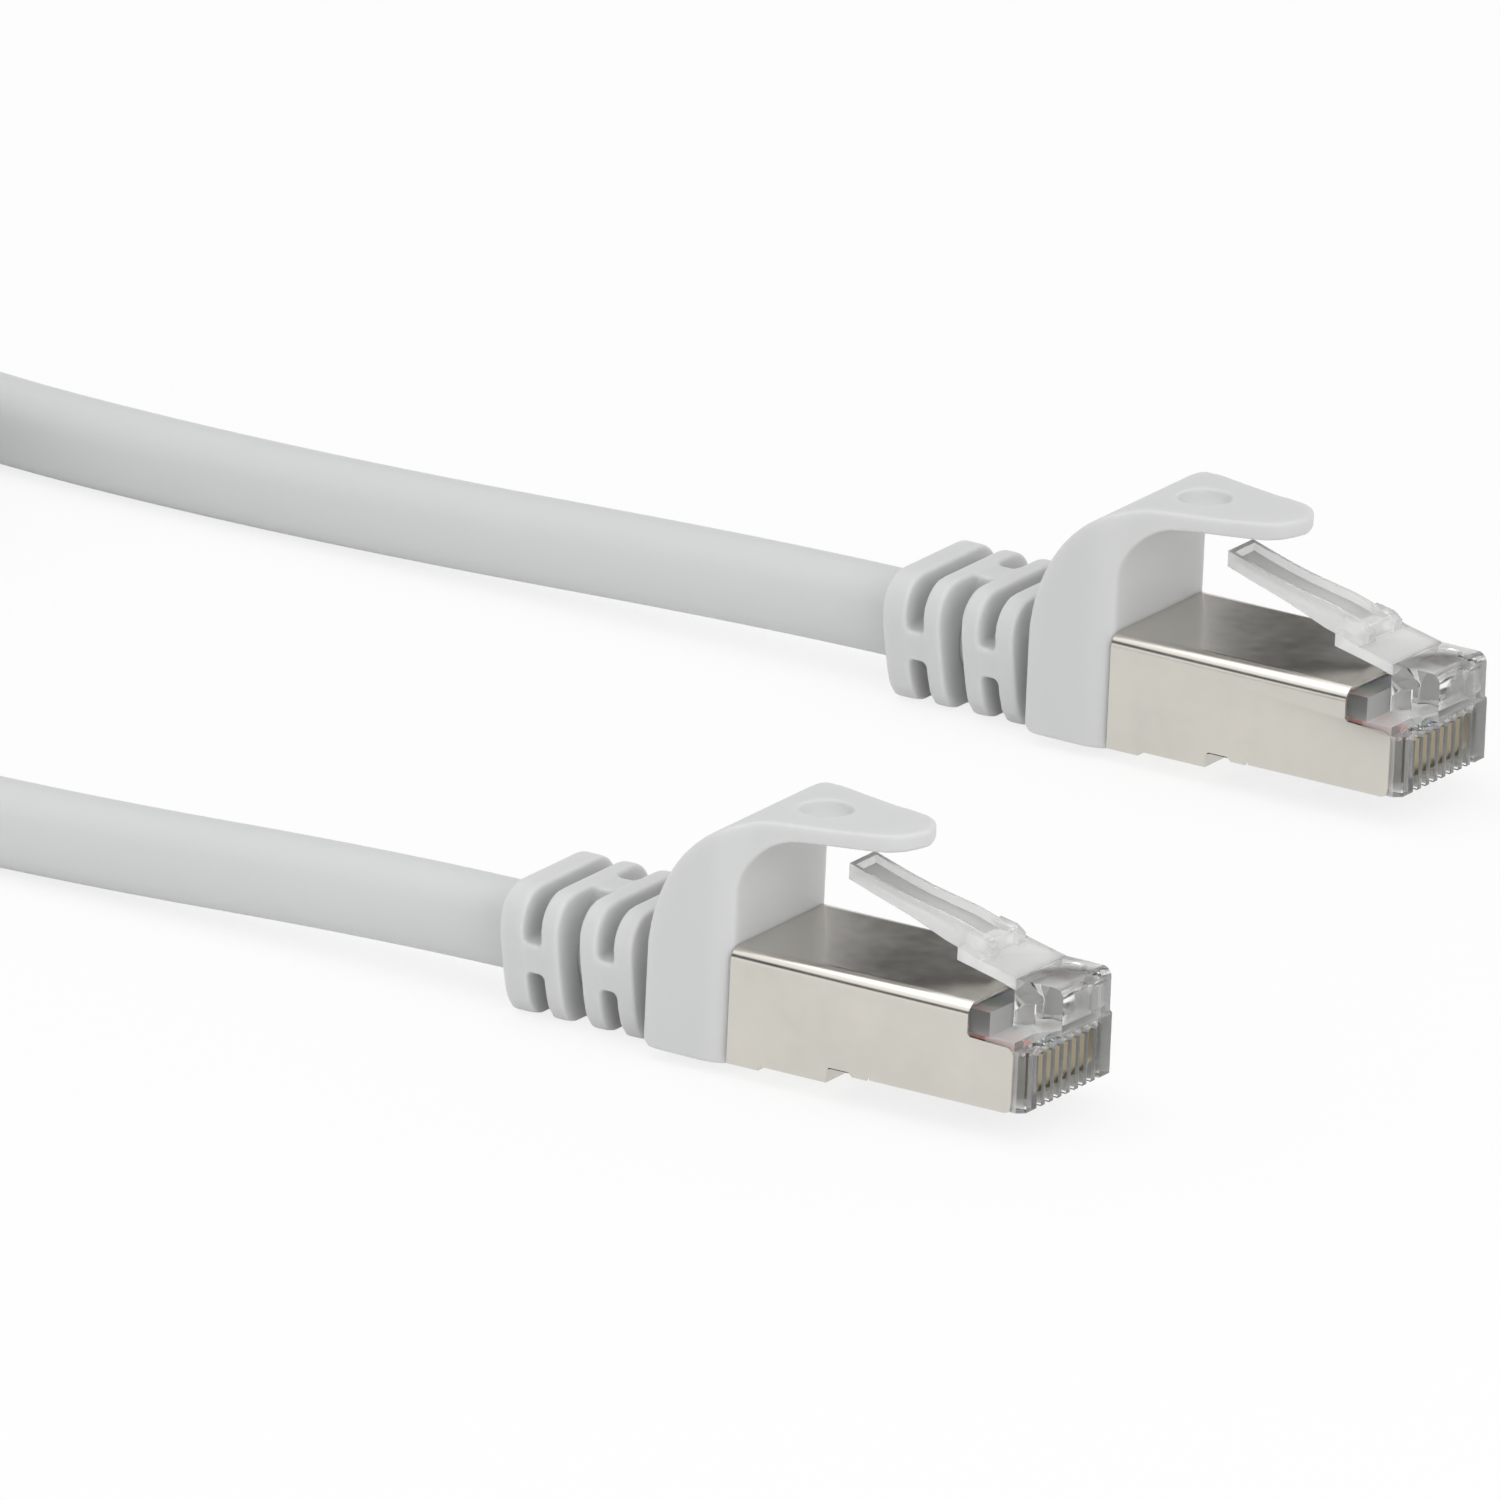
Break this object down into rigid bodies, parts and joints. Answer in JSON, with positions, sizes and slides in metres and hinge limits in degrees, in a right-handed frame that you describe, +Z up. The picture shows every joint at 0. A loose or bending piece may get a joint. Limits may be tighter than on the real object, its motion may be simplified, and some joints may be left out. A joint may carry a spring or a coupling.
{
  "type": "ethernet patch cable",
  "caption": "Round network cable with a clear shielded plug, a springy latch and a moulded boot with a press arm at each end.",
  "frame": {"origin": "bottom centre of the two plugs as they lie, the cable's free length left out", "axes": "+X points the way the plug noses point, +Y from the front plug to the rear plug, +Z up"},
  "size_m": [0.192, 0.0818, 0.0175],
  "materials": {
    "clear_plastic": "clear glossy polycarbonate",
    "gold_contacts": "gold plated",
    "natural_plastic": "natural polycarbonate",
    "nickel_sheet": "nickel plated sheet",
    "boot_plastic": "satin moulded plastic",
    "cable_jacket": "smooth satin jacket",
    "tinned_braid": "woven tinned wire",
    "pair_foil": "bright foil",
    "insulation_orange": "satin insulation",
    "insulation_green": "satin insulation",
    "insulation_blue": "satin insulation",
    "insulation_brown": "satin insulation"
  },
  "bodies": {
    "root": {"plug_housing_a": "clear_plastic", "contacts_a": "gold_contacts", "load_bar_a": "natural_plastic", "shield_a": "nickel_sheet", "boot_a": "boot_plastic", "jacket_end_a": "cable_jacket", "braid_a": "tinned_braid", "pair_foils_a": "pair_foil", "conductors_orange_a": "insulation_orange", "conductors_green_a": "insulation_green", "conductors_blue_a": "insulation_blue", "conductors_brown_a": "insulation_brown", "plug_housing_b": "clear_plastic", "contacts_b": "gold_contacts", "load_bar_b": "natural_plastic", "shield_b": "nickel_sheet", "boot_b": "boot_plastic", "jacket_end_b": "cable_jacket", "braid_b": "tinned_braid", "pair_foils_b": "pair_foil", "conductors_orange_b": "insulation_orange", "conductors_green_b": "insulation_green", "conductors_blue_b": "insulation_blue", "conductors_brown_b": "insulation_brown", "cable_lead_a": "cable_jacket", "cable_coil": "cable_jacket", "cable_lead_b": "cable_jacket"},
    "boot_arm_a": {"boot_arm_a": "boot_plastic"},
    "latch_a": {"latch_a": "clear_plastic"},
    "boot_arm_b": {"boot_arm_b": "boot_plastic"},
    "latch_b": {"latch_b": "clear_plastic"}
  },
  "joints": [
    {"name": "arm_press_a", "type": "hinge", "parent": "root", "child": "boot_arm_a", "pos_m": [-0.0061, 0.0347, 0.0161], "axis": [0, 1, 0], "range_deg": [0, 30], "stiffness_Nm_per_rad": 0.00002},
    {"name": "latch_flex_a", "type": "hinge", "parent": "root", "child": "latch_a", "pos_m": [0.0096, 0.0347, 0.0093], "axis": [0, -1, 0], "range_deg": [0, 11]},
    {"name": "arm_press_b", "type": "hinge", "parent": "root", "child": "boot_arm_b", "pos_m": [0.0078, -0.0347, 0.0161], "axis": [0, 1, 0], "range_deg": [0, 30], "stiffness_Nm_per_rad": 0.00002},
    {"name": "latch_flex_b", "type": "hinge", "parent": "root", "child": "latch_b", "pos_m": [0.0235, -0.0347, 0.0093], "axis": [0, -1, 0], "range_deg": [0, 11]}
  ],
  "couplings": [
    {"joint": "latch_flex_a", "follows": "arm_press_a", "ratio": 0.36},
    {"joint": "latch_flex_b", "follows": "arm_press_b", "ratio": 0.36}
  ]
}
